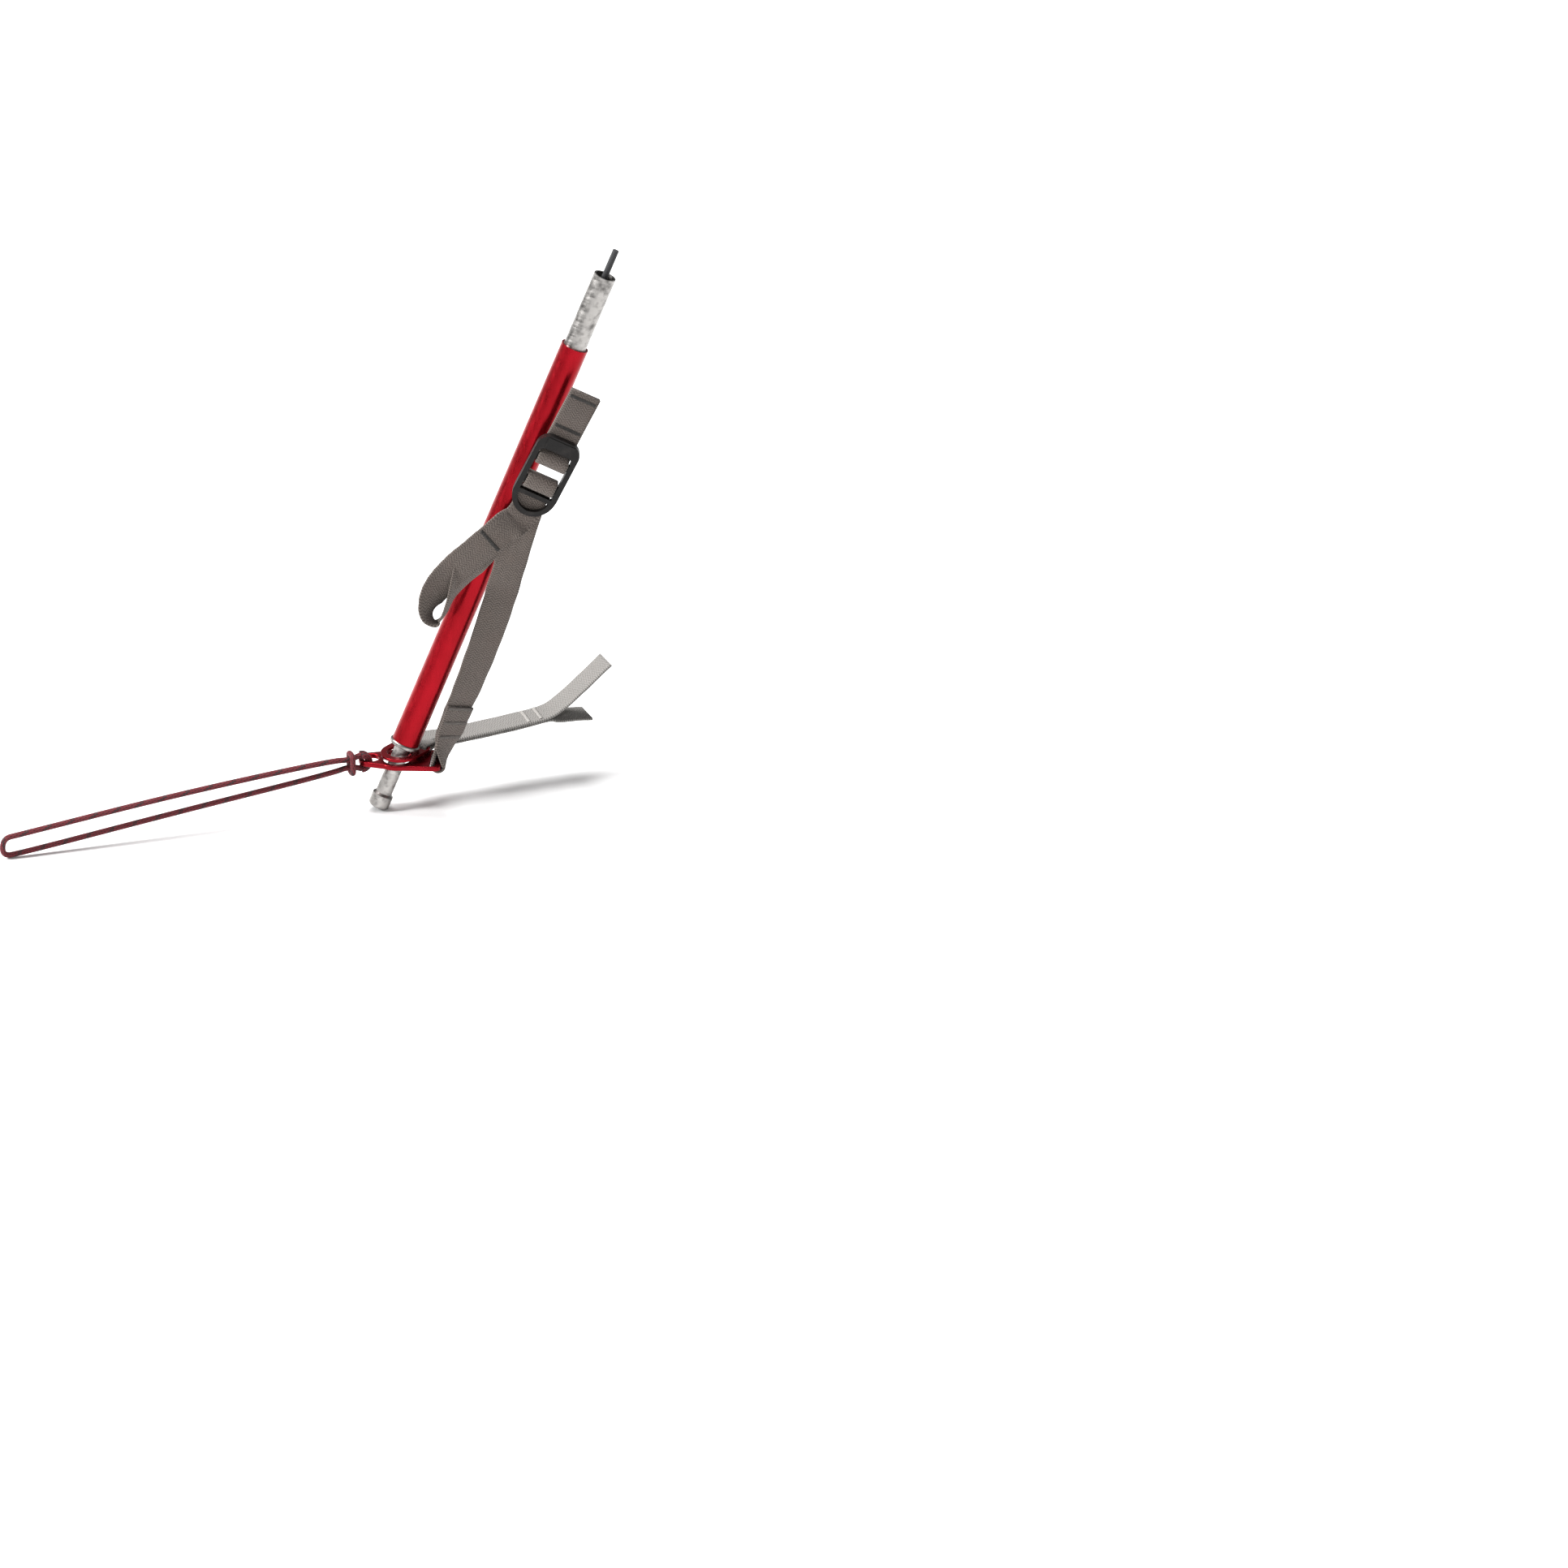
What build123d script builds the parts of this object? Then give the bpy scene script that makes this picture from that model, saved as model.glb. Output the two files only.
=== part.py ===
from build123d import *
import os
from math import cos, pi, radians, sin, tan

# Corner foot of a pole-supported tent: the pole's lower end with its tip, two webbing plates that
# slip on the tip, a cord loop for the ground anchor, and the tension strap with its ladderlock.
# Millimetres. +Z is up, +X runs with the pole's lean, -Y is the outside face of the tent corner.
# The origin is on the pole's axis, in the middle of the tip's round end.

# --- driving dimensions -------------------------------------------------------------------------
POLE_LEAN = 22.2  # degrees from upright
POLE_TURN = 7.6  # degrees, plan direction of the lean from +X towards +Y

TUBE_R = 4.35
TUBE_BORE_R = 3.75
TUBE_FOOT = 20.4  # along the axis, where the tube stands on the tip's flange
TUBE_TOP = 162.0
FERRULE_R = 3.56  # of the end that slides into the next section
FERRULE_HELD_R = 3.74
FERRULE_BORE_R = 3.05
FERRULE_OUT = 25.0
FERRULE_IN = 25.0

TIP_END_R = 3.3
TIP_END_LOW = -2.7
TIP_END_HIGH = 2.3
TIP_SHAFT_R = 2.6
TIP_FLANGE_R = 4.85
TIP_FLANGE_T = 1.3
TIP_PLUG_R = 3.74
TIP_PLUG_LENGTH = 20.0
TIP_BORE_R = 1.25
KNOT_POCKET_R = 2.3
KNOT_POCKET_TOP = 1.9
SHOCK_R = 1.0
KNOT_R = 1.85
KNOT_COIL_R = 1.1
KNOT_DEPTH = 1.9  # of the knot's middle below the pocket's top
SHOCK_END = 9.0  # of elastic left standing out of the ferrule

WEB_W = 10.0
WEB_T = 0.85

FLY_PLATE_T = 1.6
BODY_PLATE_T = 1.0
PLATE_GAP = 1.15  # room for the webbing that passes under the body plate's bar
FLY_PLATE_AT = 13.66  # along the pole's axis
FLY_PLATE_TURN = -5.0  # degrees in plan
BODY_PLATE_TURN = 50.0
PLATE_RISE = 1.5  # degrees, the bar's side higher
PLATE_ROLL = 2.0  # degrees, the -Y side lower

CORD_R = 0.9
LOOP_TURN = 199.4  # degrees in plan
LOOP_REACH = 118.0

STRAP_BOW = 1.4  # sideways bow of the strap between its plate and its buckle
BUCKLE_CENTRE = Vector(51.0, -3.6, 110.8)
BUCKLE_AXIS = Vector(0.435, -0.02, 0.90).normalized()

UP = Vector(0, 0, 1)


# --- frames ---------------------------------------------------------------------------------------
def plan_direction(angle):
    return Vector(cos(radians(angle)), sin(radians(angle)), 0)


def square_to(vector, axis):
    """The unit part of a vector that is square to an axis."""
    return (vector - axis * vector.dot(axis)).normalized()


LEAN = radians(POLE_LEAN)
POLE_AXIS = plan_direction(POLE_TURN) * sin(LEAN) + UP * cos(LEAN)
POLE_PLANE = Plane(origin=(0, 0, 0), x_dir=square_to(Vector(1, 0, 0), POLE_AXIS), z_dir=POLE_AXIS)

# Both plates lie in parallel planes, nearly level, round the tip's shaft.
PLATE_UP = Vector(-tan(radians(PLATE_RISE)), -tan(radians(PLATE_ROLL)), 1).normalized()
STACK_STEP = FLY_PLATE_T / 2 + PLATE_GAP + BODY_PLATE_T / 2
BODY_PLATE_AT = FLY_PLATE_AT + STACK_STEP / PLATE_UP.dot(POLE_AXIS)


def plate_plane(at, turn):
    x_dir = square_to(plan_direction(turn), PLATE_UP)
    return Plane(origin=POLE_AXIS * at, x_dir=x_dir, z_dir=PLATE_UP)


FLY_PLANE = plate_plane(FLY_PLATE_AT, FLY_PLATE_TURN)
BODY_PLANE = plate_plane(BODY_PLATE_AT, BODY_PLATE_TURN)

# The ground touches the lowest point of the tip's rounded rim.
TIP_END_ROUND = 0.9
GROUND_Z = (
    (TIP_END_LOW + TIP_END_ROUND) * cos(LEAN) - (TIP_END_R - TIP_END_ROUND) * sin(LEAN) - TIP_END_ROUND
)


# --- shared shapes --------------------------------------------------------------------------------
def turned(points):
    """A solid of revolution about the pole's axis from (radius, distance) points."""
    outline = Polyline(*[(r, 0, s) for r, s in points], close=True)
    solid = revolve(Face(Wire(outline.edges())), axis=Axis.Z)
    return POLE_PLANE * solid


def tube(r_out, r_in, low, high):
    ring = Circle(r_out) - Circle(r_in)
    return POLE_PLANE * (Pos(0, 0, low) * extrude(ring, high - low))


def ribbon(path, widths, width=WEB_W, thickness=WEB_T):
    """Webbing along points, its flat width along the given directions, one for each point."""
    sections = []
    for i, (point, across) in enumerate(zip(path, widths)):
        ahead = path[min(i + 1, len(path) - 1)] - path[max(i - 1, 0)]
        along = ahead.normalized()
        across = square_to(across, along)
        normal = along.cross(across)
        lean = 1.0
        if 0 < i < len(path) - 1:
            lean = along.dot((path[i + 1] - point).normalized())
        half_w = across * (width / 2)
        half_t = normal * (thickness / 2 / lean)
        corners = [point + half_w + half_t, point - half_w + half_t]
        corners += [point - half_w - half_t, point + half_w - half_t]
        sections.append(Wire.make_polygon(corners, close=True))
    return Solid.make_loft(sections, ruled=True)


def stations(points, count):
    """Evenly spaced points on a smooth line through the given ones."""
    line = Spline(*points)
    return [line @ (i / (count - 1)) for i in range(count)]


def blended(start, end, count):
    """Directions that turn evenly from one to another."""
    return [start * (1 - i / (count - 1)) + end * (i / (count - 1)) for i in range(count)]


# --- pole -----------------------------------------------------------------------------------------
def make_pole_tip():
    shaft_top = TUBE_FOOT - TIP_FLANGE_T
    neck = 0.7  # slope from the round end to the shaft
    end = TIP_END_ROUND
    arc = [
        (TIP_END_R - end + end * sin(a), TIP_END_LOW + end - end * cos(a))
        for a in [radians(15 * k) for k in range(7)]
    ]
    profile = [(KNOT_POCKET_R, TIP_END_LOW)]
    profile += arc
    profile += [(TIP_END_R, TIP_END_HIGH - neck), (TIP_SHAFT_R, TIP_END_HIGH)]
    profile += [(TIP_SHAFT_R, shaft_top), (TIP_FLANGE_R - 0.3, shaft_top)]
    profile += [(TIP_FLANGE_R, shaft_top + 0.3), (TIP_FLANGE_R, TUBE_FOOT - 0.3)]
    profile += [(TIP_FLANGE_R - 0.3, TUBE_FOOT), (TIP_PLUG_R, TUBE_FOOT)]
    plug_top = TUBE_FOOT + TIP_PLUG_LENGTH
    profile += [(TIP_PLUG_R, plug_top - 0.5), (TIP_PLUG_R - 0.5, plug_top)]
    profile += [(TIP_BORE_R, plug_top), (TIP_BORE_R, KNOT_POCKET_TOP)]
    profile += [(KNOT_POCKET_R, KNOT_POCKET_TOP)]
    return turned(profile)


def make_ferrule():
    """The joint's insert: its lower half is pressed into this tube, its upper half is turned down."""
    held = tube(FERRULE_HELD_R, FERRULE_BORE_R, TUBE_TOP - FERRULE_IN, TUBE_TOP)
    return held + tube(FERRULE_R, FERRULE_BORE_R, TUBE_TOP, TUBE_TOP + FERRULE_OUT)


def make_shock_cord():
    bottom = KNOT_POCKET_TOP - 0.6
    top = TUBE_TOP + FERRULE_OUT + SHOCK_END
    return POLE_PLANE * (Pos(0, 0, bottom) * extrude(Circle(SHOCK_R), top - bottom))


def make_shock_cord_knot():
    """The elastic's end knot, a round lump that can't pass the tip's bore."""
    centre = Pos(0, 0, KNOT_POCKET_TOP - KNOT_DEPTH)
    lump = centre * Sphere(KNOT_R)
    coil = centre * Rot(25, 0, 0) * Torus(KNOT_COIL_R, SHOCK_R - 0.1)
    cord = Pos(0, 0, KNOT_POCKET_TOP) * Cylinder(SHOCK_R, 8)
    pocket = centre * Cylinder(KNOT_POCKET_R - 0.1, 2 * KNOT_R)
    return POLE_PLANE * (((lump + coil) & pocket) - cord)


# --- plates ---------------------------------------------------------------------------------------
FLY_HALF_W = 6.3
FLY_HOLE_R = 4.5
FLY_BAR_AT = 13.0
BAR_W = 2.0
SLOT_HALF = 5.4
FLY_SLOT_IN = FLY_BAR_AT - 2.5
FLY_CORNER_R = 1.6
EYELET_AT = -8.2
EYELET_R = 2.5
RIM_W = 1.5

BODY_HALF_W = 6.3
BODY_HOLE_R = 4.2
BODY_BAR_AT = 7.75
BODY_SLOT_IN = 5.25
BODY_BAR_W = 1.9
BODY_CORNER_NEAR = 3.0
BODY_CORNER_FAR = 1.8
FLY_EDGE_R = 0.35
BODY_EDGE_R = 0.2


def slot_cut(start, end, height):
    return Pos((start + end) / 2, 0, 0) * Box(end - start, 2 * SLOT_HALF, height)


def softened(plate, radius):
    """A plate with its top and bottom edges rounded."""
    rims = plate.faces().sort_by(Axis.Z)
    edges = rims[0].edges() + rims[-1].edges()
    return fillet(edges, radius)


def make_fly_plate():
    outer = FLY_BAR_AT + BAR_W / 2
    corner = FLY_CORNER_R
    body = make_hull(
        (
            Pos(outer - corner, FLY_HALF_W - corner) * Circle(corner)
            + Pos(outer - corner, corner - FLY_HALF_W) * Circle(corner)
            + Circle(FLY_HALF_W)
        ).edges()
    )
    nose_r = EYELET_R + RIM_W
    nose = make_hull((Circle(FLY_HALF_W - 0.4) + Pos(EYELET_AT, 0) * Circle(nose_r)).edges())
    flat = body + nose - Circle(FLY_HOLE_R) - Pos(EYELET_AT, 0) * Circle(EYELET_R)
    plate = Pos(0, 0, -FLY_PLATE_T / 2) * extrude(flat, FLY_PLATE_T)
    plate -= slot_cut(FLY_SLOT_IN, FLY_BAR_AT - BAR_W / 2, 3 * FLY_PLATE_T)
    return FLY_PLANE * softened(plate, FLY_EDGE_R)


def make_body_plate():
    outer = BODY_BAR_AT + BODY_BAR_W / 2
    near, far = BODY_CORNER_NEAR, BODY_CORNER_FAR
    flat = make_hull(
        (
            Pos(outer - far, BODY_HALF_W - far) * Circle(far)
            + Pos(outer - near, near - BODY_HALF_W) * Circle(near)
            + Circle(BODY_HALF_W)
        ).edges()
    )
    flat -= Circle(BODY_HOLE_R)
    plate = Pos(0, 0, -BODY_PLATE_T / 2) * extrude(flat, BODY_PLATE_T)
    plate -= slot_cut(BODY_SLOT_IN, BODY_BAR_AT - BODY_BAR_W / 2, 3 * BODY_PLATE_T)
    return BODY_PLANE * softened(plate, BODY_EDGE_R)


# --- tension strap, ladderlock and tail -----------------------------------------------------------
# The buckle's own frame: x across the webbing, y along it, z out of its front face.
BUCKLE_FRONT = square_to(Vector(0, -1, 0), BUCKLE_AXIS)
BUCKLE = Plane(origin=BUCKLE_CENTRE, x_dir=BUCKLE_AXIS.cross(BUCKLE_FRONT), z_dir=BUCKLE_FRONT)
BUCKLE_HALF_W = 7.1
BUCKLE_INNER = 5.4
BUCKLE_TOP = 14.0
BUCKLE_FOOT = -14.0
RAIL_T = 2.6
BAR_T = 1.8
ANCHOR_BAR_AT = 5.8
MIDDLE_BAR_AT = -2.6
TAB_TOP = -6.2
TAB_BAR_W = 1.4
TAB_RIM_W = 2.0
WINDOW_TOP = 9.4
WINDOW_CORNER_R = 1.6
FRAME_CORNER_R = 4.2
CROSS_BAR_W = 2.0
BEAD_AT = 11.7
BEAD_W = 3.4
BEAD_PROUD = 0.25  # on each face
STRAP_DEPTH = -2.38  # of the strap behind the buckle's middle plane
TAIL_DEPTH = -1.40
ANCHOR_TOP = 30.0  # end of the doubled anchor web
ANCHOR_FRONT = -2.15
ANCHOR_BACK = -3.05
ANCHOR_BEND_R = 1.45
STRAP_STOP = -9.8  # along the buckle, where the strap's run meets the piece in the buckle

BAR_CENTRE = FLY_PLANE.from_local_coords(Vector(FLY_BAR_AT, 0, 0))
STRAP_TOP = BUCKLE.from_local_coords(Vector(0, STRAP_STOP, STRAP_DEPTH))
STRAP_DIR = (STRAP_TOP - BAR_CENTRE).normalized()
STRAP_LENGTH = (STRAP_TOP - BAR_CENTRE).length
STRAP_ACROSS = square_to(FLY_PLANE.y_dir, STRAP_DIR)
WRAP_R = 1.5  # inside radius of the webbing round its bar
JOIN_AT = 5.0  # up the strap, where the two legs meet
DOUBLE_TO = 21.0  # up the strap, where the folded-back end is sewn down
STRAP_ROWS = (9.0, 14.0, 19.0)  # up the strap, where its rows of thread lie
THREAD_ROW_W = 1.3
THREAD_ROW_T = 0.3
THREAD_PROUD = 0.1
ROW_CLEAR = 0.16  # of the strap's rows, which clear the twist of its faces
CROSS_ROW = 8.4  # length of a row across the webbing
TWIST = [(0.0, 82.0), (5.0, 52.0), (10.0, 35.0), (25.0, 25.0), (60.0, 0.0)]


def strap_across(up):
    """The strap's width direction: along its bar at the foot, facing outwards at the buckle."""
    if up >= TWIST[-1][0]:
        return plan_direction(TWIST[-1][1])
    for (low, a), (high, b) in zip(TWIST, TWIST[1:]):
        if up <= high:
            return plan_direction(a + (b - a) * (up - low) / (high - low))


def strap_point(up):
    bow = STRAP_BOW * sin(pi * up / STRAP_LENGTH) ** 2
    return BAR_CENTRE + STRAP_DIR * up + Vector(1, 0, 0) * bow


def make_strap_foot():
    """The strap's sewn loop round the plate's bar, doubled up to its folded-back end."""
    normal = STRAP_DIR.cross(STRAP_ACROSS)
    middle_r = WRAP_R + WEB_T / 2
    wrap = [
        BAR_CENTRE + normal * (middle_r * cos(a)) - STRAP_DIR * (middle_r * sin(a))
        for a in [pi * k / 12 for k in range(13)]
    ]
    across = [STRAP_ACROSS] * len(wrap)
    strap = ribbon(wrap, across)
    for side in (1, -1):
        offset = normal * (side * WEB_T / 2)
        foot = BAR_CENTRE + normal * (side * middle_r)
        leg = [foot, foot + STRAP_DIR * 1.2, strap_point(JOIN_AT) + offset]
        strap += ribbon(leg, [STRAP_ACROSS, STRAP_ACROSS, strap_across(JOIN_AT)])
    ups = [JOIN_AT, 6.5, 8, 10, 12, 14, 16, 18.5, DOUBLE_TO]
    doubled = ribbon([strap_point(u) for u in ups], [strap_across(u) for u in ups], thickness=2 * WEB_T)
    return strap + doubled


def make_tension_strap():
    """The strap's single run, from the sewn loop to the back of the buckle."""
    steps = 12
    low, high = DOUBLE_TO + 0.05, STRAP_LENGTH - 5.0
    ups = [low + (high - low) * i / steps for i in range(steps + 1)]
    path = [strap_point(u) for u in ups] + [STRAP_TOP - BUCKLE_AXIS * 1.5, STRAP_TOP]
    return ribbon(path, [strap_across(u) for u in ups] + [BUCKLE.x_dir] * 2)


def make_strap_bartack():
    """Rows of thread across both faces, where the strap's folded end is sewn down."""
    rise = WEB_T + ROW_CLEAR
    rows = []
    for up in STRAP_ROWS:
        across = square_to(strap_across(up), STRAP_DIR)
        plane = Plane(origin=strap_point(up), x_dir=across, z_dir=across.cross(STRAP_DIR))
        for side in (1, -1):
            rows.append(plane * (Pos(0, 0, side * rise) * Box(CROSS_ROW, THREAD_ROW_W, THREAD_ROW_T)))
    return Compound(children=rows)


def make_ladderlock():
    half, inner = BUCKLE_HALF_W, BUCKLE_INNER
    height = BUCKLE_TOP - TAB_TOP
    outline = Pos(0, (BUCKLE_TOP + TAB_TOP) / 2) * Rectangle(2 * half, height)
    outline = fillet(outline.vertices().group_by(Axis.Y)[-1], FRAME_CORNER_R)
    window_top = WINDOW_TOP
    window = Pos(0, (window_top + TAB_TOP) / 2) * Rectangle(2 * inner, window_top - TAB_TOP)
    window = fillet(window.vertices().group_by(Axis.Y)[-1], WINDOW_CORNER_R)
    frame = Pos(0, 0, -RAIL_T / 2) * extrude(outline - window, RAIL_T)
    lower_half = Pos(0, -half) * Rectangle(2 * half, 2 * half)
    tab_flat = Ellipse(half, TAB_TOP - BUCKLE_FOOT) & lower_half
    opening = Ellipse(half - TAB_RIM_W, TAB_TOP - BUCKLE_FOOT - 1.5 * TAB_RIM_W) & lower_half
    tab_flat -= Pos(0, -TAB_BAR_W) * opening
    tab = Pos(0, TAB_TOP, -BAR_T / 2) * extrude(tab_flat, BAR_T)
    bar = Box(2 * inner + 1, CROSS_BAR_W, BAR_T)
    bars = Pos(0, ANCHOR_BAR_AT, 0) * bar + Pos(0, MIDDLE_BAR_AT, 0) * bar
    # The top bar is a rounded bead that stands a little proud of the frame.
    bead = Pos(0, BEAD_AT, 0) * Box(2 * half - 5.0, BEAD_W, RAIL_T + 2 * BEAD_PROUD)
    return BUCKLE * (frame + tab + bars + bead)


def make_strap_in_buckle():
    """The webbing's path through the buckle: up behind the tab, over the middle bar and back."""
    line = [(STRAP_STOP + 0.3, STRAP_DEPTH), (-1.1, STRAP_DEPTH), (-0.4, -1.6), (-0.35, 0.9)]
    line += [(-1.0, 1.65), (-4.0, 1.65), (-4.75, 0.9), (-4.95, -0.6), (-5.7, TAIL_DEPTH)]
    line += [(STRAP_STOP + 0.3, TAIL_DEPTH)]
    path = [BUCKLE.from_local_coords(Vector(0, y, z)) for y, z in line]
    return ribbon(path, [BUCKLE.x_dir] * len(path))


def make_anchor_web():
    """A short doubled web round the anchor bar, its legs passing behind the top bar."""
    bend_r = ANCHOR_BEND_R + WEB_T / 2
    line = [(ANCHOR_TOP, ANCHOR_FRONT), (9.6, ANCHOR_FRONT), (8.6, -1.55), (8.2, -0.4)]
    line += [
        (ANCHOR_BAR_AT + bend_r * sin(a), bend_r * cos(a))
        for a in [radians(70 - 24 * k) for k in range(11)]
    ]
    line += [(8.4, -2.6), (11.0, ANCHOR_BACK), (ANCHOR_TOP, ANCHOR_BACK)]
    path = [BUCKLE.from_local_coords(Vector(0, y, z)) for y, z in line]
    return ribbon(path, [BUCKLE.x_dir] * len(path))


def make_anchor_bartack():
    """Two rows of thread on both faces of the doubled anchor web."""
    rise = WEB_T / 2 + THREAD_PROUD
    rows = []
    for up in (17.0, ANCHOR_TOP - 2.0):
        for depth in (ANCHOR_FRONT + rise, ANCHOR_BACK - rise):
            rows.append(BUCKLE * (Pos(0, up, depth) * Box(CROSS_ROW, THREAD_ROW_W, THREAD_ROW_T)))
    return Compound(children=rows)


# The tail leaves under the lift tab, runs down across the pole and is folded into a pull loop.
# Each entry is a point on its middle line and the direction of its width there.
FLAT = Vector(-0.66, 0, 0.75)
TAIL_FRONT = [
    (Vector(38.6, -5.3, 94.2), FLAT),
    (Vector(34.1, -6.6, 90.6), FLAT),
    (Vector(28.6, -7.4, 86.0), FLAT),
    (Vector(22.6, -8.0, 80.6), FLAT),
    (Vector(17.6, -8.3, 74.6), Vector(-0.72, -0.3, 0.6)),
]
TAIL_FOLD = [
    (Vector(15.6, -8.2, 69.4), Vector(-0.61, -0.66, 0.43)),
    (Vector(15.6, -7.7, 65.6), Vector(-0.35, -0.85, 0.38)),
    (Vector(17.3, -7.2, 63.3), Vector(-0.1, -0.93, 0.35)),
    (Vector(19.6, -6.8, 65.0), Vector(-0.15, -0.95, 0.2)),
]
TAIL_BACK = [
    (Vector(21.9, -6.4, 70.4), Vector(-0.23, -0.95, 0.2)),
    (Vector(25.6, -6.0, 77.6), Vector(-0.5, -0.6, 0.5)),
    (Vector(29.6, -6.2, 84.4), FLAT),
    (Vector(34.6, -5.55, 90.2), FLAT),
]


def eased(values, steps):
    """Vectors on a smooth line through the given ones, so many steps to a span."""
    line = []
    for i in range(len(values) - 1):
        before, start, end, after = [values[min(max(k, 0), len(values) - 1)] for k in range(i - 1, i + 3)]
        for t in [k / steps for k in range(steps)]:
            slope = (end - before) * t
            bend = (before * 2 - start * 5 + end * 4 - after) * t**2
            turn = (start * 3 - before - end * 3 + after) * t**3
            line.append((start * 2 + slope + bend + turn) * 0.5)
    return line + [values[-1]]


def make_tail_loop():
    square = BUCKLE.x_dir * -1
    under_tab = [(0, STRAP_STOP, TAIL_DEPTH), (0, -13.6, -1.42), (-0.5, -15.8, -1.1), (-1.3, -17.8, -0.4)]
    under_tab = [(BUCKLE.from_local_coords(Vector(*p)), square) for p in under_tab]
    keys = under_tab + TAIL_FRONT + TAIL_FOLD + TAIL_BACK
    return ribbon(eased([p for p, _ in keys], 3), eased([across for _, across in keys], 3))


def make_tail_bartack():
    """One row of thread across the front of the tail, where the loop's end is sewn behind it."""
    along = (TAIL_FRONT[2][0] - TAIL_FRONT[0][0]).normalized()
    across = square_to(FLAT, along)
    normal = across.cross(along)
    if normal.Y > 0:
        normal = normal * -1
    centre = TAIL_FRONT[1][0] + normal * (WEB_T / 2 + THREAD_PROUD)
    return Plane(origin=centre, x_dir=across, z_dir=normal) * Box(CROSS_ROW, THREAD_ROW_W, THREAD_ROW_T)


# --- body webbing ---------------------------------------------------------------------------------
BODY_RUN_TURN = 19.0  # degrees in plan
BODY_LOOP_END = 12.0  # along the plate, where the sewn loop ends and the free run starts
HINGE_GAP = 0.6


def make_body_web_loop():
    """The webbing's flat loop round the body plate's bar, its two legs sewn together."""
    level = BODY_PLATE_T / 2 + 0.1 + WEB_T / 2
    line = [(BODY_LOOP_END, WEB_T / 2 + 0.02), (BODY_BAR_AT + 2.2, level * 0.8), (BODY_BAR_AT + 1.0, level)]
    line += [(BODY_BAR_AT - 1.15, level), (BODY_BAR_AT - 1.55, 0.55), (BODY_BAR_AT - 1.55, -0.55)]
    line += [(BODY_BAR_AT - 1.15, -level), (BODY_BAR_AT + 1.0, -level), (BODY_BAR_AT + 2.2, -level * 0.8)]
    line += [(BODY_LOOP_END, -WEB_T / 2 - 0.02)]
    path = [BODY_PLANE.from_local_coords(Vector(x, 0, z)) for x, z in line]
    return ribbon(path, [BODY_PLANE.y_dir] * len(path))


BODY_RUN_START = BODY_PLANE.from_local_coords(Vector(BODY_LOOP_END + HINGE_GAP, 0, 0))
BODY_RUN = [
    BODY_RUN_START + BODY_PLANE.x_dir * 1.2,
    Vector(20.0, 14.2, 14.7),
    Vector(26.0, 16.2, 15.1),
    Vector(42.4, 21.3, 16.9),
    Vector(50.5, 23.9, 18.1),
]
EDGE_RUN = [
    Vector(50.6, 24.0, 18.9),
    Vector(55.0, 25.8, 20.6),
    Vector(61.0, 28.2, 25.3),
    Vector(70.0, 31.8, 33.2),
]
FLOOR_RUN = [
    Vector(50.6, 24.0, 17.0),
    Vector(54.0, 25.3, 16.8),
    Vector(60.0, 27.7, 16.4),
    Vector(64.0, 29.3, 15.9),
]
RUN_ACROSS = square_to(UP, plan_direction(BODY_RUN_TURN)).cross(plan_direction(BODY_RUN_TURN))


def make_body_web():
    path = [BODY_RUN_START] + stations(BODY_RUN, 13)
    across = [BODY_PLANE.y_dir] + blended(BODY_PLANE.y_dir, RUN_ACROSS, 5) + [RUN_ACROSS] * 8
    return ribbon(path, across, thickness=2 * WEB_T)


def make_edge_web():
    path = stations(EDGE_RUN, 9)
    return ribbon(path, [RUN_ACROSS] * 9)


def make_floor_tab():
    path = stations(FLOOR_RUN, 6)
    return ribbon(path, [RUN_ACROSS] * 6)


def make_web_bartack():
    """Thread rows over the run just before it divides."""
    along = (BODY_RUN[4] - BODY_RUN[3]).normalized()
    across = square_to(RUN_ACROSS, along)
    top = along.cross(across)
    if top.Z < 0:
        top = top * -1
    rows = []
    for back in (2.0, 6.0):
        centre = BODY_RUN[4] - along * back + top * (WEB_T + 0.3)
        row = Box(CROSS_ROW, THREAD_ROW_W, THREAD_ROW_T)
        rows.append(Plane(origin=centre, x_dir=across, z_dir=top) * row)
    return Compound(children=rows)


# --- stake loop -----------------------------------------------------------------------------------
EYELET_CENTRE = FLY_PLANE.from_local_coords(Vector(EYELET_AT, 0, 0))
LOOP_ALONG = square_to(plan_direction(LOOP_TURN), PLATE_UP)
LOOP_ACROSS = PLATE_UP.cross(LOOP_ALONG)
RIM_CENTRE = EYELET_CENTRE + LOOP_ALONG * (EYELET_R + RIM_W / 2)
HITCH_R = 2.4  # from the rim's middle to the cord's middle
LOOP_FLAT = plan_direction(LOOP_TURN)

# The loop's route: distance out from the rim in plan, and height above the ground.
RIM_HEIGHT = RIM_CENTRE.Z - GROUND_Z
PINCH_OUT = 3.4  # where the bight draws the two strands together
PINCH_HALF = 0.98
BIGHT_CORNER_R = 1.3
HITCH_SPREAD = 0.95  # of each turn from the loop's middle plane
LOOP_ROUTE = [
    (0.0, RIM_HEIGHT + HITCH_R),
    (PINCH_OUT, RIM_HEIGHT + PINCH_HALF),
    (10.0, RIM_HEIGHT + 1.7),
    (60.0, 13.6),
    (LOOP_REACH - 5.5, 7.5),
    (LOOP_REACH - 0.3, 7.0),
    (LOOP_REACH, 1.1),
    (LOOP_REACH - 5.5, 1.15),
    (60.0, 7.6),
    (10.0, RIM_HEIGHT - 2.6),
    (PINCH_OUT, RIM_HEIGHT - PINCH_HALF),
    (0.0, RIM_HEIGHT - HITCH_R),
]


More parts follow.
